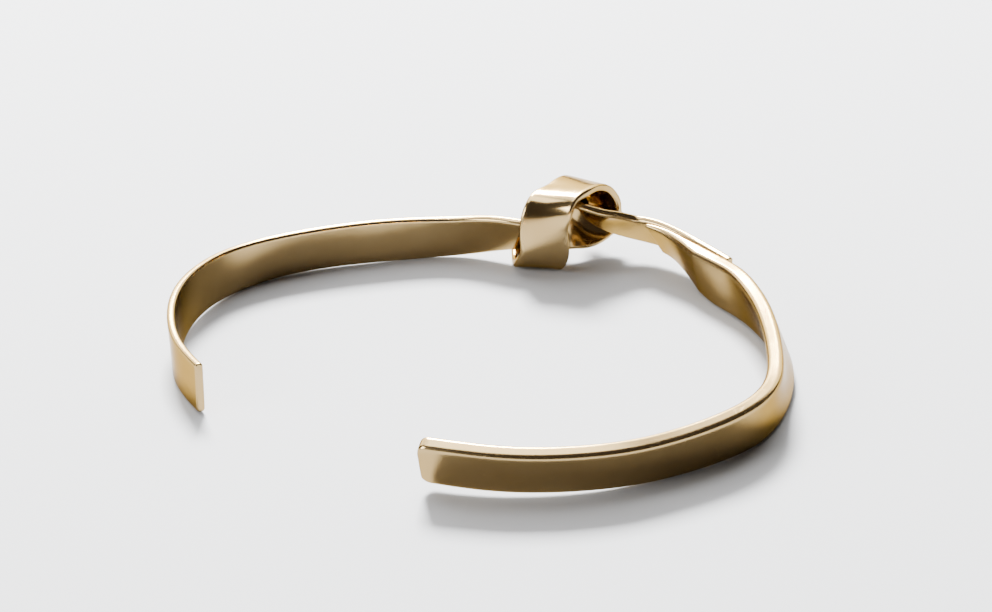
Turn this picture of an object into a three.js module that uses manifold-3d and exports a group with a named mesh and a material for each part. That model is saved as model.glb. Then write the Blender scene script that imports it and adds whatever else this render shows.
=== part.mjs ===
// A cuff bracelet of flat metal strip set on edge: a left strip tied in a loose overhand knot at the back, whose
// short tail is soldered to a right strip that runs round to the open front. Lengths are millimetres, X runs to the
// right, Y to the back and Z up, and the cuff stands on Z = 0.
import * as THREE from "three";
import Module from "manifold-3d";

// Driving dimensions
const CUFF_WIDTH = 58;
const CUFF_DEPTH = 57;
const KNOT_SIZE = 10;
const LEFT_WIDTH = 4.9;
const LEFT_THICKNESS = 0.8;
const RIGHT_WIDTH = 5.1;
const RIGHT_THICKNESS = 1.6;
const LEFT_EDGE_RADIUS = 0.32;
const RIGHT_EDGE_RADIUS = 0.5;
const SOLDER_SINK = 0.12;
const TIP_THICKNESS = 0.35;
const TIP_TAPER = 8;

// Where the middle of the knot stands, from the middle of the cuff
const KNOT_ACROSS = 0.1 * CUFF_WIDTH;
const KNOT_BACK = 0.2 * CUFF_DEPTH;

// Mesh steps: the longest step along a strip, the most turning in one step, and the points on a rounded corner
const LONGEST_STEP = 1.6;
const MOST_TURN = THREE.MathUtils.degToRad(9);
const CORNER_POINTS = 4;

const UP = new THREE.Vector3(0, 0, 1);

// The left arm from its free end to the knot: middle of the strip across and back as shares of the cuff, its
// height as a share of the strip's width, and how far its upper edge leans outward, in degrees.
const LEFT_ARM = [
  { across: -0.474, back: -0.425, height: 0.54, lean: 0 },
  { across: -0.523, back: -0.295, height: 0.51, lean: 2 },
  { across: -0.53, back: -0.145, height: 0.58, lean: 8 },
  { across: -0.496, back: -0.023, height: 0.575, lean: 5 },
  { across: -0.441, back: 0.066, height: 0.515, lean: -1 },
  { across: -0.343, back: 0.136, height: 0.515, lean: -10 },
  { across: -0.2, back: 0.184, height: 0.52, lean: -9 },
  { across: -0.074, back: 0.203, height: 0.53, lean: -17 },
  { across: 0.015, back: 0.182, height: 0.7, lean: -30 },
];

// The knot: the edge that is the lower one on the left arm, as shares of the knot's size from its middle and from
// the floor, and the direction across the strip from there, as x, y, z.
const KNOT = [
  // behind the front wrap
  { across: -0.12, back: -0.03, height: 0.14, face: [0, -0.52, 0.86] },
  { across: 0.14, back: -0.015, height: 0.12, face: [0.03, 0.2, 0.97] },
  // the loop at the right, curling back, up and over
  { across: 0.35, back: 0.055, height: 0.11, face: [-0.12, 0.5, 0.85] },
  { across: 0.515, back: 0.14, height: 0.17, face: [-0.32, 0.68, 0.66] },
  { across: 0.635, back: 0.21, height: 0.275, face: [-0.54, 0.74, 0.36] },
  { across: 0.695, back: 0.26, height: 0.44, face: [-0.74, 0.66, 0.08] },
  { across: 0.66, back: 0.21, height: 0.61, face: [-0.84, 0.55, -0.04] },
  { across: 0.57, back: 0.08, height: 0.75, face: [-0.87, 0.5, 0.02] },
  { across: 0.46, back: -0.12, height: 0.84, face: [-0.88, 0.48, -0.02] },
  { across: 0.365, back: -0.305, height: 0.875, face: [-0.9, 0.44, -0.08] },
  // the front wrap, coming down
  { across: 0.255, back: -0.445, height: 0.855, face: [-0.92, 0.36, -0.07] },
  { across: 0.19, back: -0.51, height: 0.745, face: [-0.95, 0.25, 0] },
  { across: 0.145, back: -0.505, height: 0.57, face: [-0.98, 0.13, 0.06] },
  { across: 0.15, back: -0.48, height: 0.4, face: [-1, 0.04, 0.03] },
  { across: 0.155, back: -0.44, height: 0.24, face: [-1, 0, 0.06] },
  // the turn under the arm
  { across: 0.105, back: -0.355, height: 0.105, face: [-1, 0.03, 0.06] },
  { across: 0.08, back: -0.21, height: 0.05, face: [-1, 0.02, 0.02] },
  { across: 0.07, back: -0.04, height: 0.05, face: [-1, 0.02, 0] },
  { across: 0.07, back: 0.12, height: 0.12, face: [-1, -0.03, -0.05] },
  // up behind the arm and flat over its upper edge
  { across: 0.075, back: 0.23, height: 0.27, face: [-0.92, -0.3, -0.12] },
  { across: 0.06, back: 0.33, height: 0.485, face: [-0.7, -0.7, -0.14] },
  { across: 0.005, back: 0.255, height: 0.64, face: [-0.3, -0.95, -0.04] },
  { across: 0.08, back: 0.18, height: 0.69, face: [-0.12, -0.99, 0.02] },
  // out through the loop, untwisting
  { across: 0.25, back: 0.13, height: 0.64, face: [-0.05, -0.98, 0.16] },
  { across: 0.44, back: 0.045, height: 0.44, face: [-0.03, -0.82, 0.57] },
  { across: 0.77, back: 0.11, height: 0.23, face: [0.03, -0.71, 0.71] },
  { across: 1.19, back: -0.1, height: 0.185, face: [-0.26, -0.55, 0.77] },
];

// The rest of the tail, as the left arm's rows.
const TAIL = [
  { across: 0.348, back: 0.093, height: 0.65, lean: -22 },
  { across: 0.4, back: 0.007, height: 0.55, lean: -5 },
];

// The lap of the right strip, soldered to the tail's inner side: where its rows lie, in rows of the tables above
// before the tail's end.
const LAP = [2.2, 1.75, 1.25, 0.7, 0.1];

// The right strip from the lap round to its free end: the middle of the strip, as the left arm's rows.
const RIGHT_ARM = [
  { across: 0.41, back: -0.049, height: 0.54, lean: -7 },
  { across: 0.436, back: -0.118, height: 0.55, lean: -14 },
  { across: 0.455, back: -0.207, height: 0.56, lean: -20 },
  { across: 0.461, back: -0.332, height: 0.54, lean: -18 },
  { across: 0.438, back: -0.476, height: 0.515, lean: 1 },
  { across: 0.375, back: -0.583, height: 0.53, lean: 12 },
  { across: 0.275, back: -0.659, height: 0.515, lean: 19 },
  { across: 0.17, back: -0.71, height: 0.545, lean: 23 },
  { across: 0.053, back: -0.729, height: 0.575, lean: 24 },
  { across: -0.04, back: -0.721, height: 0.61, lean: 23 },
  { across: -0.115, back: -0.701, height: 0.635, lean: 24 },
];

// The smooth curve through rows of numbers, one row a unit of its parameter: a natural cubic spline.
class SmoothCurve {
  constructor(rows) {
    this.rows = rows;
    this.bends = rows[0].map((_, column) => SmoothCurve.bendsOf(rows.map((row) => row[column])));
  }

  // The second derivative at each row of one column, by the usual elimination of its three-term equations.
  static bendsOf(values) {
    const last = values.length - 1;
    const ratio = [0];
    const partial = [0];
    for (let i = 1; i < last; i++) {
      const pivot = 4 - ratio[i - 1];
      const bend = 6 * (values[i - 1] - 2 * values[i] + values[i + 1]);
      ratio.push(1 / pivot);
      partial.push((bend - partial[i - 1]) / pivot);
    }
    const bends = new Array(last + 1).fill(0);
    for (let i = last - 1; i > 0; i--) bends[i] = partial[i] - ratio[i] * bends[i + 1];
    return bends;
  }

  // The row of numbers at a parameter.
  at(parameter) {
    const first = THREE.MathUtils.clamp(Math.floor(parameter), 0, this.rows.length - 2);
    const b = parameter - first;
    const a = 1 - b;
    const bendShare = [(a ** 3 - a) / 6, (b ** 3 - b) / 6];
    return this.rows[first].map((value, column) => {
      const bends = this.bends[column];
      const chord = a * value + b * this.rows[first + 1][column];
      return chord + bendShare[0] * bends[first] + bendShare[1] * bends[first + 1];
    });
  }
}

// A station's row of numbers: a point on the strip and the direction across it.
const rowOf = (point, across) => [...point.toArray(), ...across.toArray()];

// Where a row of shares stands, in millimetres.
const placeOf = (row, stripWidth) =>
  new THREE.Vector3(row.across * CUFF_WIDTH, row.back * CUFF_DEPTH, row.height * stripWidth);

// The direction across a strip that runs along `run` and leans outward by `lean` degrees.
function leaningFace(run, lean) {
  const outward = new THREE.Vector3().crossVectors(UP, run).setZ(0).normalize();
  const angle = THREE.MathUtils.degToRad(lean);
  return outward.multiplyScalar(Math.sin(angle)).addScaledVector(UP, Math.cos(angle));
}

// Stations of an arm. `before` and `after` are the points that the arm comes from and goes on to, if any.
function armRows(table, stripWidth, before, after) {
  const points = table.map((row) => placeOf(row, stripWidth));
  return table.map((row, i) => {
    const from = points[i - 1] ?? before ?? points[i];
    const to = points[i + 1] ?? after ?? points[i];
    return rowOf(points[i], leaningFace(to.clone().sub(from), row.lean));
  });
}

// Stations of the knot: from the tabled edge to the middle of the strip.
function knotRows() {
  return KNOT.map((row) => {
    const face = new THREE.Vector3(...row.face).normalize();
    const middle = new THREE.Vector3(row.across, row.back, row.height).multiplyScalar(KNOT_SIZE);
    middle.add(new THREE.Vector3(KNOT_ACROSS, KNOT_BACK, 0)).addScaledVector(face, LEFT_WIDTH / 2);
    return rowOf(middle, face);
  });
}

const pointOf = (row) => new THREE.Vector3(...row.slice(0, 3));

// The strip's own axes at a parameter: its point, the way it runs, the direction across it and its inner side.
function axesAt(curve, parameter) {
  const nudge = 1e-3;
  const row = curve.at(parameter);
  const run = pointOf(curve.at(parameter + nudge)).sub(pointOf(curve.at(parameter - nudge))).normalize();
  const face = new THREE.Vector3(...row.slice(3)).addScaledVector(run, -run.dot(new THREE.Vector3(...row.slice(3))));
  face.normalize();
  return { point: pointOf(row), run, face, inner: new THREE.Vector3().crossVectors(run, face) };
}

// The parameters at which a curve gets a section: short steps where it bends or twists, longer ones elsewhere.
function stepsAlong(curve) {
  const probes = 40;
  const last = curve.rows.length - 1;
  const steps = [0];
  let mark = axesAt(curve, 0);
  for (let i = 1; i < last * probes; i++) {
    const here = axesAt(curve, i / probes);
    const turn = Math.max(here.run.angleTo(mark.run), here.face.angleTo(mark.face));
    const length = here.point.distanceTo(mark.point);
    if (turn < MOST_TURN && length < LONGEST_STEP) continue;
    steps.push(i / probes);
    mark = here;
  }
  if (last - steps[steps.length - 1] < 0.1) steps.pop();
  return [...steps, last];
}

// A strip's section, a rectangle with rounded corners, as pairs: along the face and toward the inner side.
function sectionOf(width, thickness, edgeRadius) {
  const radius = Math.min(edgeRadius, 0.4 * thickness);
  const centres = [[1, 1], [-1, 1], [-1, -1], [1, -1]];
  return centres.flatMap(([alongFace, inward], corner) =>
    Array.from({ length: CORNER_POINTS }, (_, i) => {
      const angle = (corner + i / (CORNER_POINTS - 1)) * (Math.PI / 2);
      return [
        alongFace * (width / 2 - radius) + radius * Math.cos(angle),
        inward * (thickness / 2 - radius) + radius * Math.sin(angle),
      ];
    }),
  );
}

// The closed solid that a section sweeps along a curve. thicknessAt and shiftAt take the length run so far and
// give the strip's thickness and how far its middle stands from the curve, toward the inner side.
function sweepStrip(wasm, curve, width, edgeRadius, thicknessAt, shiftAt) {
  const corners = [];
  const faces = [];
  const parameters = stepsAlong(curve);
  let run = 0;
  let previous = null;
  let count = 0;
  for (const parameter of parameters) {
    const axes = axesAt(curve, parameter);
    run += previous ? axes.point.distanceTo(previous) : 0;
    previous = axes.point;
    const section = sectionOf(width, thicknessAt(run), edgeRadius);
    count = section.length;
    for (const [alongFace, inward] of section) {
      const corner = axes.point.clone().addScaledVector(axes.face, alongFace);
      corners.push(...corner.addScaledVector(axes.inner, inward + shiftAt(run)).toArray());
    }
  }
  const rings = parameters.length;
  for (let ring = 0; ring + 1 < rings; ring++) {
    for (let i = 0; i < count; i++) {
      const near = [ring * count + i, ring * count + ((i + 1) % count)];
      const far = near.map((index) => index + count);
      faces.push(near[0], near[1], far[1], near[0], far[1], far[0]);
    }
  }
  const lastRing = (rings - 1) * count;
  for (let i = 1; i + 1 < count; i++) {
    faces.push(0, i + 1, i);
    faces.push(lastRing, lastRing + i, lastRing + i + 1);
  }
  const mesh = { numProp: 3, vertProperties: new Float32Array(corners), triVerts: new Uint32Array(faces) };
  return new wasm.Manifold(new wasm.Mesh(mesh));
}

// The left strip's curve: arm, knot and tail.
function leftCurve() {
  const knot = knotRows();
  const arm = armRows(LEFT_ARM, LEFT_WIDTH, null, pointOf(knot[0]));
  const tail = armRows(TAIL, LEFT_WIDTH, pointOf(knot[knot.length - 1]), null);
  return new SmoothCurve([...arm, ...knot, ...tail]);
}

// The right strip's curve, on its outer face: the lap lies on the tail's inner face and the rest is the arm.
function rightCurve(left) {
  const tailEnd = left.rows.length - 1;
  const lap = LAP.map((before) => {
    const axes = axesAt(left, tailEnd - before);
    axes.point.addScaledVector(axes.inner, LEFT_THICKNESS / 2 - SOLDER_SINK);
    return rowOf(axes.point, axes.face);
  });
  const middle = armRows(RIGHT_ARM, RIGHT_WIDTH, pointOf(lap[lap.length - 1]), null);
  const points = [lap[lap.length - 1], ...middle].map(pointOf);
  const arm = middle.map((row, i) => {
    const face = new THREE.Vector3(...row.slice(3));
    const run = (points[i + 2] ?? points[i + 1]).clone().sub(points[i]).normalize();
    const inner = new THREE.Vector3().crossVectors(run, face).normalize();
    return rowOf(pointOf(row).addScaledVector(inner, -RIGHT_THICKNESS / 2), face);
  });
  return new SmoothCurve([...lap, ...arm]);
}

// The right strip's thickness: its lapped tip is filed thin on the inner side.
const rightThickness = (run) =>
  THREE.MathUtils.lerp(TIP_THICKNESS, RIGHT_THICKNESS, THREE.MathUtils.clamp(run / TIP_TAPER, 0, 1));

// The joined solid as a mesh that stands on Z = 0 with its middle over the origin.
function standingMesh(solid, name) {
  const { vertProperties, triVerts } = solid.getMesh();
  const geometry = new THREE.BufferGeometry();
  geometry.setAttribute("position", new THREE.BufferAttribute(new Float32Array(vertProperties), 3));
  geometry.setIndex(new THREE.BufferAttribute(new Uint32Array(triVerts), 1));
  geometry.computeBoundingBox();
  const { min, max } = geometry.boundingBox;
  geometry.translate(-(min.x + max.x) / 2, -(min.y + max.y) / 2, -min.z);
  geometry.computeVertexNormals();
  const mesh = new THREE.Mesh(geometry, new THREE.MeshStandardMaterial({ color: 0xc9a25e, metalness: 1 }));
  mesh.name = name;
  return mesh;
}

const wasm = await Module();
wasm.setup();
const left = leftCurve();
const leftStrip = sweepStrip(wasm, left, LEFT_WIDTH, LEFT_EDGE_RADIUS, () => LEFT_THICKNESS, () => 0);
const inset = (run) => rightThickness(run) / 2;
const rightStrip = sweepStrip(wasm, rightCurve(left), RIGHT_WIDTH, RIGHT_EDGE_RADIUS, rightThickness, inset);

const bracelet = new THREE.Group();
bracelet.name = "knotted_cuff_bracelet";
bracelet.add(standingMesh(leftStrip.add(rightStrip), "knotted_cuff_band"));
export default bracelet;
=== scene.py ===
"""A cuff bracelet of polished gold-coloured strip, open at the front left and knotted at the back.

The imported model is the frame. Two strips stand for its one band: the left one is an arm, a loose overhand
knot and a short tail, and the right one is lapped on the tail and runs round to the open front. Each is a
section swept along a smooth curve through a short table. Lengths are millimetres until the mesh is made, in
metres.
"""

from __future__ import annotations

import logging
import math
from dataclasses import dataclass, field
from enum import Enum
from typing import Any

import bpy
import numpy as np
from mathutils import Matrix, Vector

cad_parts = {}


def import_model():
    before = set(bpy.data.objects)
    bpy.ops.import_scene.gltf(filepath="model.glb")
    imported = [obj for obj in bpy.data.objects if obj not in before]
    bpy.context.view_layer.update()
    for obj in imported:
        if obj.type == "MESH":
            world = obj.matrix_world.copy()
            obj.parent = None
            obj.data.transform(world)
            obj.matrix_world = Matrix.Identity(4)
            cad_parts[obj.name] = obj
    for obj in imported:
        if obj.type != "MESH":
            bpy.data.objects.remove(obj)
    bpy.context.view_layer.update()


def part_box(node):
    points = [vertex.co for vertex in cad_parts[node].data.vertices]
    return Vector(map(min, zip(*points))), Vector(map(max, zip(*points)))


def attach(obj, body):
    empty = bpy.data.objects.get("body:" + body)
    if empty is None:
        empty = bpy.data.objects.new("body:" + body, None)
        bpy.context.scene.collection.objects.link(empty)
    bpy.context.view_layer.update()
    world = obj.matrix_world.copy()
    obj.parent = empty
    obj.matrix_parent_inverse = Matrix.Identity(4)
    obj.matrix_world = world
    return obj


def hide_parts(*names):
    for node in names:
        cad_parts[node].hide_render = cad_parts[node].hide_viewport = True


LOG = logging.getLogger("cuff_bracelet")
METRES = 0.001
UP = np.array([0.0, 0.0, 1.0])
BAND_NODE = "knotted_cuff_band"


@dataclass(frozen=True)
class CuffSizes:
    """The cuff's driving sizes, and where the middle of its knot stands from its own middle."""

    width: float = 58.0
    depth: float = 57.0
    knot: float = 10.0
    knot_across: float = 0.1 * 58.0
    knot_back: float = 0.2 * 57.0


@dataclass(frozen=True)
class StripSizes:
    """The section of a strip: a rectangle with rounded corners."""

    width: float
    thickness: float
    edge_radius: float


@dataclass(frozen=True)
class ArmRow:
    """A section of an arm: its middle in shares of the cuff, height in strip widths, lean in degrees."""

    across: float
    back: float
    height: float
    lean: float


@dataclass(frozen=True)
class KnotRow:
    """A section of the knot: its lower edge in shares of the knot's size, and the direction across it."""

    across: float
    back: float
    height: float
    face: tuple[float, float, float]


LEFT_ARM = (
    ArmRow(across=-0.474, back=-0.425, height=0.54, lean=0),
    ArmRow(across=-0.523, back=-0.295, height=0.51, lean=2),
    ArmRow(across=-0.53, back=-0.145, height=0.58, lean=8),
    ArmRow(across=-0.496, back=-0.023, height=0.575, lean=5),
    ArmRow(across=-0.441, back=0.066, height=0.515, lean=-1),
    ArmRow(across=-0.343, back=0.136, height=0.515, lean=-10),
    ArmRow(across=-0.2, back=0.184, height=0.52, lean=-9),
    ArmRow(across=-0.074, back=0.203, height=0.53, lean=-17),
    ArmRow(across=0.015, back=0.182, height=0.7, lean=-30),
)

KNOT = (
    # behind the front wrap
    KnotRow(across=-0.12, back=-0.03, height=0.14, face=(0, -0.52, 0.86)),
    KnotRow(across=0.14, back=-0.015, height=0.12, face=(0.03, 0.2, 0.97)),
    # the loop at the right, curling back, up and over
    KnotRow(across=0.35, back=0.055, height=0.11, face=(-0.12, 0.5, 0.85)),
    KnotRow(across=0.515, back=0.14, height=0.17, face=(-0.32, 0.68, 0.66)),
    KnotRow(across=0.635, back=0.21, height=0.275, face=(-0.54, 0.74, 0.36)),
    KnotRow(across=0.695, back=0.26, height=0.44, face=(-0.74, 0.66, 0.08)),
    KnotRow(across=0.66, back=0.21, height=0.61, face=(-0.84, 0.55, -0.04)),
    KnotRow(across=0.57, back=0.08, height=0.75, face=(-0.87, 0.5, 0.02)),
    KnotRow(across=0.46, back=-0.12, height=0.84, face=(-0.88, 0.48, -0.02)),
    KnotRow(across=0.365, back=-0.305, height=0.875, face=(-0.9, 0.44, -0.08)),
    # the front wrap, coming down
    KnotRow(across=0.255, back=-0.445, height=0.855, face=(-0.92, 0.36, -0.07)),
    KnotRow(across=0.19, back=-0.51, height=0.745, face=(-0.95, 0.25, 0)),
    KnotRow(across=0.145, back=-0.505, height=0.57, face=(-0.98, 0.13, 0.06)),
    KnotRow(across=0.15, back=-0.48, height=0.4, face=(-1, 0.04, 0.03)),
    KnotRow(across=0.155, back=-0.44, height=0.24, face=(-1, 0, 0.06)),
    # the turn under the arm
    KnotRow(across=0.105, back=-0.355, height=0.105, face=(-1, 0.03, 0.06)),
    KnotRow(across=0.08, back=-0.21, height=0.05, face=(-1, 0.02, 0.02)),
    KnotRow(across=0.07, back=-0.04, height=0.05, face=(-1, 0.02, 0)),
    KnotRow(across=0.07, back=0.12, height=0.12, face=(-1, -0.03, -0.05)),
    # up behind the arm and flat over its upper edge
    KnotRow(across=0.075, back=0.23, height=0.27, face=(-0.92, -0.3, -0.12)),
    KnotRow(across=0.06, back=0.33, height=0.485, face=(-0.7, -0.7, -0.14)),
    KnotRow(across=0.005, back=0.255, height=0.64, face=(-0.3, -0.95, -0.04)),
    KnotRow(across=0.08, back=0.18, height=0.69, face=(-0.12, -0.99, 0.02)),
    # out through the loop, untwisting
    KnotRow(across=0.25, back=0.13, height=0.64, face=(-0.05, -0.98, 0.16)),
    KnotRow(across=0.44, back=0.045, height=0.44, face=(-0.03, -0.82, 0.57)),
    KnotRow(across=0.77, back=0.11, height=0.23, face=(0.03, -0.71, 0.71)),
    KnotRow(across=1.19, back=-0.1, height=0.185, face=(-0.26, -0.55, 0.77)),
)

TAIL = (
    ArmRow(across=0.348, back=0.093, height=0.65, lean=-22),
    ArmRow(across=0.4, back=0.007, height=0.55, lean=-5),
)

RIGHT_ARM = (
    ArmRow(across=0.41, back=-0.049, height=0.54, lean=-7),
    ArmRow(across=0.436, back=-0.118, height=0.55, lean=-14),
    ArmRow(across=0.455, back=-0.207, height=0.56, lean=-20),
    ArmRow(across=0.461, back=-0.332, height=0.54, lean=-18),
    ArmRow(across=0.438, back=-0.476, height=0.515, lean=1),
    ArmRow(across=0.375, back=-0.583, height=0.53, lean=12),
    ArmRow(across=0.275, back=-0.659, height=0.515, lean=19),
    ArmRow(across=0.17, back=-0.71, height=0.545, lean=23),
    ArmRow(across=0.053, back=-0.729, height=0.575, lean=24),
    ArmRow(across=-0.04, back=-0.721, height=0.61, lean=23),
    ArmRow(across=-0.115, back=-0.701, height=0.635, lean=24),
)


def unit(vectors: np.ndarray) -> np.ndarray:
    """Each vector of an array, divided by its own length."""
    return vectors / np.linalg.norm(vectors, axis=-1, keepdims=True)


@dataclass(frozen=True)
class Axes:
    """A strip's own axes at several stations: points, the way it runs, the way across and the inner side."""

    point: np.ndarray
    run: np.ndarray
    face: np.ndarray
    inner: np.ndarray


class SmoothCurve:
    """The natural cubic spline through rows of six numbers: a point and the direction across the strip."""

    nudge = 1e-3
    probes = 80
    end_stations = 6
    fewest_stations = 8

    def __init__(self, rows: np.ndarray) -> None:
        """Finds the second derivative at each row: neighbours' plus four times its own is six times the jump.

        Args:
            rows: one row for each unit of the parameter.
        """
        self.rows = rows
        inside = len(rows) - 2
        terms = 4.0 * np.eye(inside) + np.eye(inside, k=1) + np.eye(inside, k=-1)
        self.bends = np.zeros_like(rows)
        self.bends[1:-1] = np.linalg.solve(terms, 6.0 * (rows[:-2] - 2.0 * rows[1:-1] + rows[2:]))

    @property
    def last(self) -> int:
        """The parameter at the end of the curve."""
        return len(self.rows) - 1

    def at(self, parameters: np.ndarray) -> np.ndarray:
        """The rows at some parameters: the chord between two rows, plus a term of each one's bend.

        The term is the bend times (share³ - share) / 6, where the share is one at that row and falls to
        nothing at the other.

        Args:
            parameters: places along the curve, in rows.

        Returns:
            An array with six numbers for each parameter.
        """
        first = np.clip(np.floor(parameters).astype(int), 0, self.last - 1)
        after = (parameters - first)[:, None]
        before = 1.0 - after
        chord = before * self.rows[first] + after * self.rows[first + 1]
        bend = (before**3 - before) * self.bends[first] + (after**3 - after) * self.bends[first + 1]
        return chord + bend / 6.0

    def axes(self, parameters: np.ndarray) -> Axes:
        """The strip's axes: run is the tangent, face is square to it, and inner is run crossed with face.

        Args:
            parameters: places along the curve, in rows.

        Returns:
            The points and the three unit vectors at each place.
        """
        rows = self.at(parameters)
        ahead = self.at(parameters + self.nudge)[:, :3]
        run = unit(ahead - self.at(parameters - self.nudge)[:, :3])
        along = np.sum(run * rows[:, 3:], axis=1, keepdims=True)
        face = unit(rows[:, 3:] - along * run)
        return Axes(rows[:, :3], run, face, np.cross(run, face))

    def evenly(self, step: float, end_step: float) -> tuple[np.ndarray, np.ndarray]:
        """Stations evenly spaced by length, with a few close ones at each end for its rounding.

        Args:
            step: the length between stations.
            end_step: the length over which each end is rounded.

        Returns:
            The stations' parameters, and the length run to each.
        """
        probes = np.linspace(0.0, self.last, self.last * self.probes + 1)
        points = self.at(probes)[:, :3]
        lengths = np.concatenate([[0.0], np.cumsum(np.linalg.norm(np.diff(points, axis=0), axis=1))])
        whole = lengths[-1]
        close = end_step * (1.0 - np.cos(np.linspace(0.0, math.pi / 2, self.end_stations)))
        count = max(int(whole / step), self.fewest_stations)
        middle = np.linspace(end_step, whole - end_step, count)
        wanted = np.concatenate([close[:-1], middle, whole - close[-2::-1]])
        return np.interp(wanted, lengths, probes), wanted


def arm_points(table: tuple[ArmRow, ...], cuff: CuffSizes, width: float) -> np.ndarray:
    """The middles of an arm's sections: shares times the cuff's width and depth, and the strip's width."""
    return np.array([(row.across * cuff.width, row.back * cuff.depth, row.height * width) for row in table])


def leaning_faces(table: tuple[ArmRow, ...], path: np.ndarray) -> np.ndarray:
    """The directions across an arm's sections: upright, tipped outward by each row's lean.

    Args:
        table: the arm's rows.
        path: the arm's points with one more before and one more after them.

    Returns:
        A unit vector for each row: outward times the lean's sine, plus up times its cosine.
    """
    run = path[2:] - path[:-2]
    outward = np.cross(UP, run)
    outward[:, 2] = 0.0
    lean = np.radians([row.lean for row in table])[:, None]
    return unit(outward) * np.sin(lean) + UP * np.cos(lean)


def arm_rows(
    points: np.ndarray,
    table: tuple[ArmRow, ...],
    before: np.ndarray,
    after: np.ndarray,
) -> np.ndarray:
    """Rows of an arm's curve, from the points and the neighbours that it comes from and goes on to."""
    path = np.vstack([before, points, after])
    return np.hstack([points, leaning_faces(table, path)])


class StripEnd(Enum):
    """How a strip's first end is finished: cut square, or filed thin on its inner side for the lap."""

    SQUARED = "squared"
    FILED_THIN = "filed_thin"


@dataclass(frozen=True)
class SectionLayout:
    """The points round a section: rounded corners, with points closer to the corners on the sides between.

    A point is the corner's centre, a share of each half side less the radius, plus the radius along an angle.
    """

    corner_steps: int = 6
    wide_steps: int = 12
    narrow_steps: int = 5

    def shares(self) -> np.ndarray:
        """The section's points, corner by corner, each with the side that follows it.

        Returns:
            Four rows for the points: the centre's two shares, and the two parts of the radius.
        """
        parts = []
        corners = ((1.0, 1.0), (-1.0, 1.0), (-1.0, -1.0), (1.0, -1.0))
        sides = (self.wide_steps, self.narrow_steps, self.wide_steps, self.narrow_steps)
        for corner, (here, steps) in enumerate(zip(corners, sides)):
            angles = (corner + np.linspace(0.0, 1.0, self.corner_steps + 1)) * math.pi / 2
            arc = self.columns(np.full(len(angles), here[0]), np.full(len(angles), here[1]), angles)
            there = corners[(corner + 1) % 4]
            share = (1.0 - np.cos(np.linspace(0.0, math.pi, steps + 1)[1:-1])) / 2.0
            across = here[0] + share * (there[0] - here[0])
            inward = here[1] + share * (there[1] - here[1])
            parts += [arc, self.columns(across, inward, np.full(len(share), angles[-1]))]
        return np.hstack(parts)

    @staticmethod
    def columns(across: np.ndarray, inward: np.ndarray, angles: np.ndarray) -> np.ndarray:
        """Four rows for some points: the centre's shares, and the cosine and sine of their angles."""
        return np.vstack([across, inward, np.cos(angles), np.sin(angles)])


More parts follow.
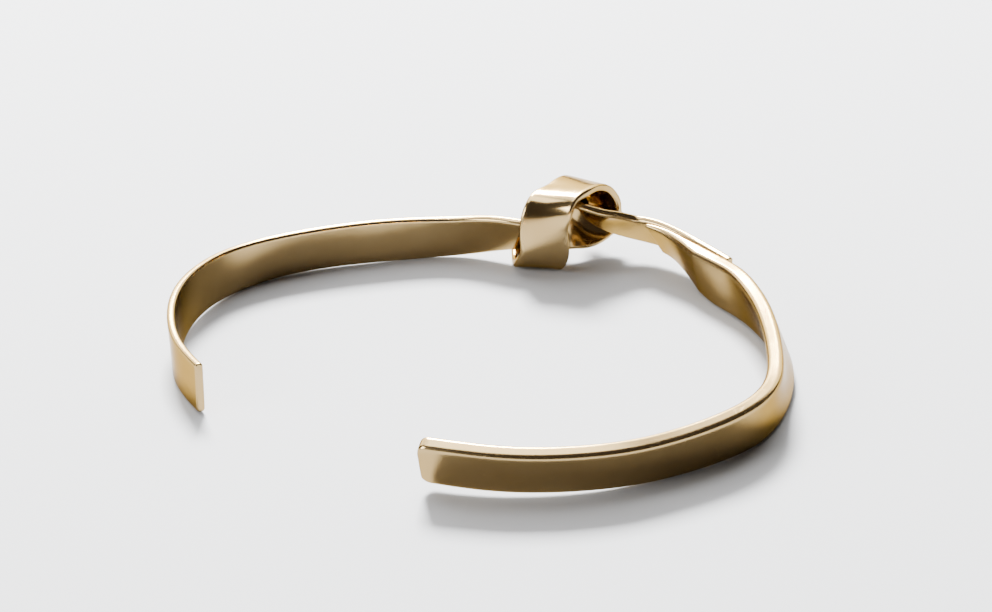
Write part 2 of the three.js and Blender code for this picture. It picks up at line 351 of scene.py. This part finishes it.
@dataclass
class SweptStrip:
    """A closed surface swept by a section along a curve, with rounded ends, a UV map and a rim mask."""

    sizes: StripSizes
    curve: SmoothCurve
    first_end: StripEnd = StripEnd.SQUARED
    tip_thickness: float = 0.35
    tip_taper: float = 8.0
    lifted: float = 0.0
    lift_length: float = 4.2
    step: float = 0.16
    end_round: float = 0.14
    end_corner: float = 0.0
    fullest_radius: float = 0.42
    least_radius: float = 0.02
    rim_start: float = 0.9
    corner_share: float = 0.96
    layout: SectionLayout = field(default_factory=SectionLayout)

    def thicknesses(self, length: np.ndarray) -> np.ndarray:
        """The thickness at each length: the strip's own, or rising evenly from the filed tip.

        Args:
            length: the length run to each station.

        Returns:
            The thickness at each station.
        """
        full = np.full_like(length, self.sizes.thickness)
        if self.first_end is StripEnd.SQUARED:
            return full
        share = np.clip(length / self.tip_taper, 0.0, 1.0)
        return self.tip_thickness + share * (full - self.tip_thickness)

    def offsets(self, length: np.ndarray, thickness: np.ndarray) -> np.ndarray:
        """How far the middle stands inward of the curve, which lies on a lapped strip's outer face.

        The tip is sprung off the tail: the lift falls to nothing with the square of the share of its length
        that is left.

        Args:
            length: the length run to each station.
            thickness: the thickness at each station.

        Returns:
            The offset of each station's middle.
        """
        if self.first_end is StripEnd.SQUARED:
            return np.zeros_like(length)
        left = np.clip(1.0 - length / self.lift_length, 0.0, 1.0)
        return thickness / 2.0 + self.lifted * left**2

    def corner_cut(self, length: np.ndarray) -> np.ndarray:
        """How much the last end's two corners, seen on the face, are rounded off.

        It is size - root(size² - corner_share × depth²), a quarter circle's drop that stops a little short.

        Args:
            length: the length run to each station.

        Returns:
            The width lost on each side at each station.
        """
        size = self.end_corner
        depth = np.clip(size - (length[-1] - length), 0.0, size)
        return size - np.sqrt(size**2 - self.corner_share * depth**2)

    def section(self, length: np.ndarray) -> tuple[np.ndarray, np.ndarray, np.ndarray]:
        """Every section's points in the strip's own axes.

        Near an end the section draws in by radius - root(radius² - depth²), where depth is the length past
        the rounding's start. A corner's radius is at most a share of the thickness, to fit a filed tip.

        Args:
            length: the length run to each station.

        Returns:
            The points along the face, the points inward, and how much each point belongs to the rim.
        """
        across, inward, cosine, sine = self.layout.shares()
        thickness = self.thicknesses(length)
        depth = np.clip(self.end_round - np.minimum(length, length[-1] - length), 0.0, self.end_round)
        drawn = self.end_round - np.sqrt(self.end_round**2 - depth**2)
        radius = np.minimum(self.sizes.edge_radius, self.fullest_radius * thickness)
        radius = np.maximum(radius - drawn, self.least_radius)[:, None]
        half_face = (self.sizes.width / 2.0 - drawn - self.corner_cut(length))[:, None] - radius
        half_inner = (thickness / 2.0 - drawn)[:, None] - radius
        offset = self.offsets(length, thickness)[:, None]
        along = half_face * across + radius * cosine
        inner = half_inner * inward + radius * sine + offset
        rim = np.clip((np.abs(across) - self.rim_start) / (1.0 - self.rim_start), 0.0, 1.0)
        return along, inner, np.broadcast_to(rim, along.shape)

    def points(self) -> tuple[np.ndarray, np.ndarray, np.ndarray]:
        """The swept grid: each station's point, plus face and inner times the section's two numbers.

        Returns:
            The grid of points, the rim mask on it, and the length run to each station.
        """
        parameters, length = self.curve.evenly(self.step, self.end_round)
        axes = self.curve.axes(parameters)
        along, inner, rim = self.section(length)
        across = along[..., None] * axes.face[:, None]
        grid = axes.point[:, None] + across + inner[..., None] * axes.inner[:, None]
        return grid, rim, length

    @staticmethod
    def quads(rings: int, count: int) -> np.ndarray:
        """The faces between neighbouring rings, turning so that they point outwards.

        Args:
            rings: the number of rings.
            count: the number of points in a ring.

        Returns:
            The four corners of each face.
        """
        ring, here = np.meshgrid(np.arange(rings - 1), np.arange(count), indexing="ij")
        there = (here + 1) % count
        near, far = ring * count, (ring + 1) * count
        return np.stack([near + here, near + there, far + there, far + here], axis=-1).reshape(-1, 4)

    @staticmethod
    def ring_lengths(grid: np.ndarray) -> np.ndarray:
        """The length round a middle section to each of its points, closed by the first point again.

        Args:
            grid: the swept grid of points.

        Returns:
            One length for each point of a ring, and the whole length last.
        """
        ring = grid[len(grid) // 2]
        closed = np.vstack([ring, ring[:1]])
        return np.concatenate([[0.0], np.cumsum(np.linalg.norm(np.diff(closed, axis=0), axis=1))])

    def mesh(self, name: str, shift: np.ndarray) -> bpy.types.Mesh:
        """The strip as a closed mesh in metres, with its UV map in millimetres and its rim mask.

        Args:
            name: the mesh's name.
            shift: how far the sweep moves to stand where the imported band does, in millimetres.

        Returns:
            The mesh, with faces that point outwards.
        """
        grid, rim, length = self.points()
        rings, count = rim.shape
        caps = np.stack([grid[0].mean(axis=0), grid[-1].mean(axis=0)])
        vertices = (np.vstack([grid.reshape(-1, 3), caps]) + shift) * METRES
        quads = self.quads(rings, count)
        caps_first, caps_last = self.cap_triangles(rings, count)
        mesh = bpy.data.meshes.new(name)
        mesh.from_pydata(vertices.tolist(), [], quads.tolist() + caps_first.tolist() + caps_last.tolist())
        layer = mesh.uv_layers.new(name="strip")
        layer.data.foreach_set("uv", self.uv(grid, length, quads, count).astype(np.float32).ravel())
        mask = mesh.attributes.new("rim", "FLOAT", "POINT")
        mask.data.foreach_set("value", np.concatenate([rim.ravel(), [1.0, 1.0]]).astype(np.float32))
        mesh.polygons.foreach_set("use_smooth", np.ones(len(mesh.polygons), dtype=bool))
        mesh.validate()
        mesh.update()
        return mesh

    @staticmethod
    def cap_triangles(rings: int, count: int) -> tuple[np.ndarray, np.ndarray]:
        """The fans that close the first and the last ring, about the two points that follow the grid's.

        Args:
            rings: the number of rings.
            count: the number of points in a ring.

        Returns:
            The triangles of the first end and those of the last.
        """
        here = np.arange(count)
        there = (here + 1) % count
        first, last = rings * count, rings * count + 1
        start = np.stack([np.full(count, first), there, here], axis=-1)
        finish = np.stack([np.full(count, last), here, there], axis=-1)
        finish[:, 1:] += (rings - 1) * count
        return start, finish

    def uv(self, grid: np.ndarray, length: np.ndarray, quads: np.ndarray, count: int) -> np.ndarray:
        """The UVs of the sides' faces and then of both ends: millimetres along the strip, and round it.

        Args:
            grid: the swept grid of points.
            length: the length run to each station.
            quads: the sides' faces.
            count: the number of points in a ring.

        Returns:
            A pair of numbers for each corner of each face.
        """
        round_it = self.ring_lengths(grid)
        side_u = length[quads // count]
        side_v = round_it[quads % count]
        seam = (quads[:, 0] % count) == count - 1
        side_v[seam, 1:3] = round_it[-1]
        sides = np.stack([side_u, side_v], axis=-1).reshape(-1, 2)
        here = np.arange(count)
        there = (here + 1) % count
        first = self.cap_uv(length[0], round_it, here, there)
        last = self.cap_uv(length[-1], round_it, there, here)
        return np.vstack([sides, first, last])

    @staticmethod
    def cap_uv(length: float, round_it: np.ndarray, here: np.ndarray, there: np.ndarray) -> np.ndarray:
        """The UVs of an end's triangles: its middle, then two points of the ring.

        Args:
            length: the length run to the end.
            round_it: the length round the section to each of its points.
            here: each triangle's first point of the ring.
            there: each triangle's second point of the ring.

        Returns:
            A pair of numbers for each corner of each triangle.
        """
        middle = np.full(len(here), round_it[-1] / 2.0)
        around = np.stack([middle, round_it[here], round_it[there]], axis=-1)
        return np.stack([np.full_like(around, length), around], axis=-1).reshape(-1, 2)


@dataclass(frozen=True)
class Signal:
    """A socket's value in a shader, with arithmetic that adds Math nodes."""

    graph: "Graph"
    socket: bpy.types.NodeSocket

    def _math(self, operation: str, first: "Signal | float", second: "Signal | float") -> "Signal":
        """One Math node on two values."""
        return self.graph.node("ShaderNodeMath", {"operation": operation}, {0: first, 1: second})

    def __add__(self, other: "Signal | float") -> "Signal":
        """This value plus another."""
        return self._math("ADD", self, other)

    def __radd__(self, other: float) -> "Signal":
        """A number plus this value."""
        return self._math("ADD", other, self)

    def __sub__(self, other: "Signal | float") -> "Signal":
        """This value less another."""
        return self._math("SUBTRACT", self, other)

    def __rsub__(self, other: float) -> "Signal":
        """A number less this value."""
        return self._math("SUBTRACT", other, self)

    def __mul__(self, other: "Signal | float") -> "Signal":
        """This value times another."""
        return self._math("MULTIPLY", self, other)

    def __rmul__(self, other: float) -> "Signal":
        """A number times this value."""
        return self._math("MULTIPLY", other, self)


class Graph:
    """A material's node tree, filled through one method."""

    def __init__(self, name: str) -> None:
        """Makes an empty material of a name.

        Args:
            name: the material's name.
        """
        self.material = bpy.data.materials.new(name)
        self.material.use_nodes = True
        self.tree = self.material.node_tree
        self.tree.nodes.clear()

    def node(
        self,
        kind: str,
        settings: dict[str, Any] | None = None,
        inputs: dict[str | int, Any] | None = None,
        output: str | int = 0,
    ) -> Signal:
        """Adds a node: its settings first, then the values or links of its sockets.

        Args:
            kind: the node's type.
            settings: properties of the node.
            inputs: for each socket a Signal to link, or a plain value.
            output: the output that the Signal carries.

        Returns:
            A Signal of that output.
        """
        made = self.tree.nodes.new(kind)
        for name, value in (settings or {}).items():
            setattr(made, name, value)
        for socket, value in (inputs or {}).items():
            if isinstance(value, Signal):
                self.tree.links.new(value.socket, made.inputs[socket])
            else:
                made.inputs[socket].default_value = value
        return Signal(self, made.outputs[output] if made.outputs else made.inputs[0])

    def mix(self, share: Signal, first: Any, second: Any) -> Signal:
        """A colour between two, by a share."""
        inputs = {0: share, 6: self._colour(first), 7: self._colour(second)}
        return self.node("ShaderNodeMix", {"data_type": "RGBA"}, inputs, 2)

    @staticmethod
    def _colour(value: Any) -> Any:
        """A colour as a socket takes it, or a Signal as it is."""
        return value if isinstance(value, Signal) else (*value, 1.0)


@dataclass(frozen=True)
class PolishedGold:
    """Polished gold-coloured brass: pale gold, faint lengthwise draw lines, small scratches and smudges.

    The scales of clouds and smudges are for Object coordinates in metres. The stretches are for the strip's
    UV map, in millimetres along and round it. Heights are millimetres, and wear is added roughness.
    """

    name: str = "polished_gold_metal"
    pale: tuple[float, float, float] = (0.39, 0.275, 0.125)
    warm: tuple[float, float, float] = (0.32, 0.217, 0.09)
    edge_tint: tuple[float, float, float] = (0.55, 0.45, 0.32)
    cloud_scale: float = 210.0
    cloud_contrast: float = 1.5
    cloud_drop: float = 0.25
    # how much paler the rims are painted: a painted highlight along the rounded edges, together with rubbed
    # wear
    rim_highlight_and_wear: float = 0.45
    roughness: float = 0.16
    smudge_scale: float = 620.0
    smudge_wear: float = 0.09
    rim_wear: float = 0.07
    scratch_wear: float = 0.12
    wave_size: float = 3.4
    wave_height: float = 0.012
    line_stretch: tuple[float, float, float] = (0.07, 11.0, 1.0)
    line_scale: float = 5.0
    line_height: float = 0.0009
    scratch_stretch: tuple[float, float, float] = (0.16, 1.9, 1.0)
    scratch_turn: float = 0.3
    scratch_scale: float = 1.3
    scratch_width: float = 0.02
    scratch_height: float = 0.0014
    patch_scale: float = 0.35
    patch_limits: tuple[float, float] = (0.52, 0.66)

    def material(self) -> bpy.types.Material:
        """Builds the finish.

        Returns:
            The material.
        """
        graph = Graph(self.name)
        place = graph.node("ShaderNodeTexCoord", output="Object")
        strip = graph.node("ShaderNodeUVMap", {"uv_map": "strip"})
        rim = graph.node("ShaderNodeAttribute", {"attribute_name": "rim"}, output="Fac")
        cloudy = self._noise(graph, place, self.cloud_scale, 3.0)
        smudges = self._noise(graph, place, self.smudge_scale, 5.0)
        drawn = graph.node("ShaderNodeMapping", inputs={"Vector": strip, "Scale": self.line_stretch})
        lines = self._noise(graph, drawn, self.line_scale, 3.0)
        scratches = self._scratches(graph, strip)
        base = graph.mix(cloudy * self.cloud_contrast - self.cloud_drop, self.pale, self.warm)
        # the rims are painted paler: a painted highlight along the edges, together with rubbed wear
        colour = graph.mix(rim * self.rim_highlight_and_wear, base, self.pale)
        rough = self.roughness + (smudges - 0.5) * self.smudge_wear + rim * self.rim_wear
        rough = rough + scratches * self.scratch_wear
        waves = graph.node(
            "ShaderNodeTexNoise",
            inputs={"Vector": place, "Scale": 1000.0 / self.wave_size, "Detail": 1.0, "Roughness": 0.3},
        )
        bumped = self._bump(graph, waves, self.wave_height, None)
        bumped = self._bump(graph, lines, self.line_height, bumped)
        bumped = self._bump(graph, 1.0 - scratches, self.scratch_height, bumped)
        inputs = {
            "Base Color": colour,
            "Metallic": 1.0,
            "Roughness": rough,
            "Specular Tint": (*self.edge_tint, 1.0),
            "Normal": bumped,
        }
        surface = graph.node("ShaderNodeBsdfPrincipled", inputs=inputs)
        graph.node("ShaderNodeOutputMaterial", inputs={"Surface": surface})
        return graph.material

    @staticmethod
    def _noise(graph: Graph, place: Signal, scale: float, detail: float) -> Signal:
        """Soft noise on some coordinates."""
        return graph.node("ShaderNodeTexNoise", inputs={"Vector": place, "Scale": scale, "Detail": detail})

    def _scratches(self, graph: Graph, strip: Signal) -> Signal:
        """A mask of thin scratches: cell borders of a drawn-out Voronoi pattern, kept only in some places.

        Args:
            graph: the material's nodes.
            strip: the strip's UV map.

        Returns:
            One on a scratch, and nothing elsewhere.
        """
        turned = graph.node(
            "ShaderNodeMapping",
            inputs={
                "Vector": strip,
                "Rotation": (0.0, 0.0, self.scratch_turn),
                "Scale": self.scratch_stretch,
            },
        )
        cells = graph.node(
            "ShaderNodeTexVoronoi",
            {"feature": "DISTANCE_TO_EDGE"},
            {"Vector": turned, "Scale": self.scratch_scale},
        )
        thin = graph.node(
            "ShaderNodeMapRange",
            inputs={
                "Value": cells,
                "From Min": 0.0,
                "From Max": self.scratch_width,
                "To Min": 1.0,
                "To Max": 0.0,
            },
        )
        patches = self._noise(graph, strip, self.patch_scale, 2.0)
        low, high = self.patch_limits
        kept = graph.node("ShaderNodeMapRange", inputs={"Value": patches, "From Min": low, "From Max": high})
        return thin * kept

    @staticmethod
    def _bump(graph: Graph, height: Signal, millimetres: float, under: Signal | None) -> Signal:
        """A Bump node of a height in millimetres, on top of another if there is one.

        Args:
            graph: the material's nodes.
            height: the pattern, from nothing to one.
            millimetres: the height at one.
            under: the normal that it starts from.

        Returns:
            The bumped normal.
        """
        inputs: dict[str | int, Any] = {"Strength": 1.0, "Distance": millimetres * METRES, "Height": height}
        if under is not None:
            inputs["Normal"] = under
        return graph.node("ShaderNodeBump", inputs=inputs)


@dataclass
class Strip:
    """What both strips share: a place in the frame, a finish, and how the piece is made, hung on the root body
    with the imported band hidden.
    """

    cuff: CuffSizes
    sizes: StripSizes
    name: str = "strip"

    def sweep(self) -> SweptStrip:
        """The strip's surface before it is placed."""
        raise NotImplementedError

    def build(self, shift: np.ndarray, finish: bpy.types.Material) -> bpy.types.Object:
        """Args:
            shift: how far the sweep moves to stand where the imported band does, in millimetres.
            finish: the material.

        Returns:
            The strip's object, at the origin.
        """
        mesh = self.sweep().mesh(self.name, shift)
        mesh.materials.append(finish)
        piece = bpy.data.objects.new(self.name, mesh)
        bpy.context.scene.collection.objects.link(piece)
        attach(piece, "root")
        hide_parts(BAND_NODE)
        LOG.info("%s: %d faces", self.name, len(mesh.polygons))
        return piece


@dataclass
class LeftStrip(Strip):
    """The left arm, the overhand knot and the tail, which are one strip."""

    name: str = "left_strip"

    def knot_rows(self) -> np.ndarray:
        """The knot's rows: each tabled edge point, plus half the strip's width along its direction across.

        Returns:
            A point and a direction for each row of the table.
        """
        faces = unit(np.array([row.face for row in KNOT], dtype=float))
        edge = np.array([(row.across, row.back, row.height) for row in KNOT]) * self.cuff.knot
        middle = np.array([self.cuff.knot_across, self.cuff.knot_back, 0.0])
        return np.hstack([edge + middle + faces * self.sizes.width / 2.0, faces])

    def curve(self) -> SmoothCurve:
        """The strip's curve, along its middle, from the free end through the knot to the tail's end.

        Returns:
            The curve, whose last rows are the tail's.
        """
        knot = self.knot_rows()
        arm = arm_points(LEFT_ARM, self.cuff, self.sizes.width)
        tail = arm_points(TAIL, self.cuff, self.sizes.width)
        arm_part = arm_rows(arm, LEFT_ARM, arm[0], knot[0, :3])
        tail_part = arm_rows(tail, TAIL, knot[-1, :3], tail[-1])
        return SmoothCurve(np.vstack([arm_part, knot, tail_part]))

    def sweep(self) -> SweptStrip:
        """The strip's surface, squared at both ends."""
        return SweptStrip(self.sizes, self.curve())


@dataclass
class RightStrip(Strip):
    """The strip that is soldered to the tail's inner side and runs round the right bend to the open front."""

    name: str = "right_strip"
    tail: SmoothCurve | None = None
    tail_thickness: float = 0.8
    solder_sink: float = 0.12
    lap: tuple[float, ...] = (2.2, 1.75, 1.25, 0.7, 0.1)
    tip_lift: float = 0.22
    end_corner: float = 0.9

    def lap_rows(self) -> np.ndarray:
        """The lap's rows: the tail's inner face at the tabled parameters before the tail's end, less the sink.

        Returns:
            A point and a direction for each row of the lap.
        """
        axes = self.tail.axes(self.tail.last - np.array(self.lap))
        point = axes.point + axes.inner * (self.tail_thickness / 2.0 - self.solder_sink)
        return np.hstack([point, axes.face])

    def curve(self) -> SmoothCurve:
        """The curve on the strip's outer face: the lap, then the arm's middles moved out to that face.

        A middle is moved against the inner side by half the strip's thickness.

        Returns:
            The curve, whose rows begin at the lap's thin tip.
        """
        lap = self.lap_rows()
        middle = arm_points(RIGHT_ARM, self.cuff, self.sizes.width)
        rows = arm_rows(middle, RIGHT_ARM, lap[-1, :3], middle[-1])
        path = np.vstack([lap[-1, :3], middle, middle[-1]])
        run = unit(path[2:] - path[:-2])
        inner = unit(np.cross(run, rows[:, 3:]))
        rows[:, :3] -= inner * self.sizes.thickness / 2.0
        return SmoothCurve(np.vstack([lap, rows]))

    def sweep(self) -> SweptStrip:
        """The strip's surface, its lapped tip filed thin and sprung a little off the tail."""
        return SweptStrip(
            self.sizes,
            self.curve(),
            first_end=StripEnd.FILED_THIN,
            lifted=self.tip_lift,
            end_corner=self.end_corner,
        )


@dataclass
class Bracelet:
    """The whole cuff: two strips joined by the lap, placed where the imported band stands."""

    cuff: CuffSizes = field(default_factory=CuffSizes)
    left_sizes: StripSizes = StripSizes(width=4.9, thickness=0.8, edge_radius=0.32)
    right_sizes: StripSizes = StripSizes(width=5.1, thickness=1.6, edge_radius=0.5)
    gold: PolishedGold = field(default_factory=PolishedGold)

    @staticmethod
    def shift_to_band(strips: list[Strip]) -> np.ndarray:
        """The move that puts the sweeps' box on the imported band's: middles and undersides together.

        Args:
            strips: both strips, before they are placed.

        Returns:
            The move in millimetres.
        """
        lowest, highest = (np.array(corner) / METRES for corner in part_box(BAND_NODE))
        grids = [strip.sweep().points()[0].reshape(-1, 3) for strip in strips]
        swept = np.vstack(grids)
        shift = (lowest + highest - swept.min(axis=0) - swept.max(axis=0)) / 2.0
        shift[2] = lowest[2] - swept[:, 2].min()
        return shift

    def build(self) -> list[bpy.types.Object]:
        """Builds and dresses both strips.

        Returns:
            The pieces.
        """
        left = LeftStrip(self.cuff, self.left_sizes)
        thickness = self.left_sizes.thickness
        right = RightStrip(self.cuff, self.right_sizes, tail=left.curve(), tail_thickness=thickness)
        shift = self.shift_to_band([left, right])
        LOG.info("the sweeps move by %s mm", np.round(shift, 3))
        finish = self.gold.material()
        return [left.build(shift, finish), right.build(shift, finish)]


@dataclass(frozen=True)
class Softbox:
    """A soft white rectangular studio light, aimed at a point, in metres and watts."""

    name: str
    place: tuple[float, float, float]
    aim: tuple[float, float, float]
    width: float
    height: float
    watts: float

    def build(self) -> bpy.types.Object:
        """Makes the light, with its -Z towards the aim.

        Returns:
            The light's object.
        """
        data = bpy.data.lights.new(self.name, "AREA")
        data.shape = "RECTANGLE"
        data.size = self.width
        data.size_y = self.height
        data.energy = self.watts
        light = bpy.data.objects.new(self.name, data)
        light.location = self.place
        way = Vector(self.aim) - Vector(self.place)
        light.rotation_euler = way.to_track_quat("-Z", "Y").to_euler()
        bpy.context.scene.collection.objects.link(light)
        return light


@dataclass(frozen=True)
class Floor:
    """A plain pale floor, flat and far wider than the view."""

    half_side: float = 3.0
    height: float = -0.00002
    colour: tuple[float, float, float] = (0.34, 0.343, 0.35)

    def build(self) -> bpy.types.Object:
        """Makes the floor as one face.

        Returns:
            The floor's object.
        """
        side = self.half_side
        corners = [(-side, -side), (side, -side), (side, side), (-side, side)]
        mesh = bpy.data.meshes.new("floor")
        mesh.from_pydata([(x, y, self.height) for x, y in corners], [], [(0, 1, 2, 3)])
        graph = Graph("pale_floor")
        surface = graph.node(
            "ShaderNodeBsdfPrincipled",
            inputs={"Base Color": (*self.colour, 1.0), "Roughness": 0.9, "Specular IOR Level": 0.1},
        )
        graph.node("ShaderNodeOutputMaterial", inputs={"Surface": surface})
        mesh.materials.append(graph.material)
        floor = bpy.data.objects.new("floor", mesh)
        bpy.context.scene.collection.objects.link(floor)
        return floor


@dataclass(frozen=True)
class Studio:
    """Studio light: a compact key light behind, soft ones round it and a fill at the left, in a dim room."""

    room: tuple[float, float, float] = (0.1, 0.088, 0.085)
    softboxes: tuple[Softbox, ...] = (
        Softbox("key", (-0.07, 0.52, 0.48), (0.0, 0.0, 0.0), 0.2, 0.2, 64.0),
        Softbox("main", (-0.15, 0.44, 0.57), (0.0, 0.02, 0.0), 1.0, 0.45, 6.0),
        Softbox("overhead", (-0.05, 0.1, 0.72), (0.0, 0.02, 0.0), 0.7, 0.3, 5.0),
        Softbox("window", (-0.1, 1.3, 0.52), (0.0, 0.0, 0.05), 2.6, 0.8, 42.0),
        Softbox("fill", (-0.95, -0.45, 0.4), (0.0, 0.0, 0.0), 0.7, 0.5, 23.0),
    )

    def build(self) -> None:
        """Sets the room's dim light and makes the softboxes."""
        world = bpy.data.worlds.new("room")
        world.use_nodes = True
        background = world.node_tree.nodes["Background"]
        background.inputs["Color"].default_value = (*self.room, 1.0)
        background.inputs["Strength"].default_value = 1.0
        bpy.context.scene.world = world
        for softbox in self.softboxes:
            softbox.build()


@dataclass(frozen=True)
class PhotographCamera:
    """The camera: square to the cuff's front, looking down at a slope, with a long lens. Lengths are mm."""

    aim: tuple[float, float, float] = (1.648, 12.83, -0.026)
    distance: float = 356.6
    elevation: float = 24.433
    lens: float = 130.23
    sensor: float = 36.0

    def build(self) -> bpy.types.Object:
        """Makes the camera behind its aim, along the line of sight.

        Returns:
            The scene's camera.
        """
        slope = math.radians(self.elevation)
        back = np.array([0.0, -math.cos(slope), math.sin(slope)])
        data = bpy.data.cameras.new("camera")
        data.lens = self.lens
        data.sensor_width = self.sensor
        data.clip_start = 0.01
        camera = bpy.data.objects.new("camera", data)
        camera.location = (np.array(self.aim) + back * self.distance) * METRES
        camera.rotation_euler = (math.pi / 2 - slope, 0.0, 0.0)
        bpy.context.scene.collection.objects.link(camera)
        bpy.context.scene.camera = camera
        return camera


def corners(bounds: tuple[Any, Any]) -> list[list[float]]:
    """A box's two corners as plain lists of numbers."""
    return [[float(value) for value in corner] for corner in bounds]


def main() -> None:
    """Loads the frame, and builds the bracelet and its stage in order."""
    logging.basicConfig(level=logging.INFO, format="%(name)s: %(message)s")
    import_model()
    PhotographCamera().build()
    Bracelet().build()
    Floor().build()
    Studio().build()


if __name__ == "__main__":
    main()
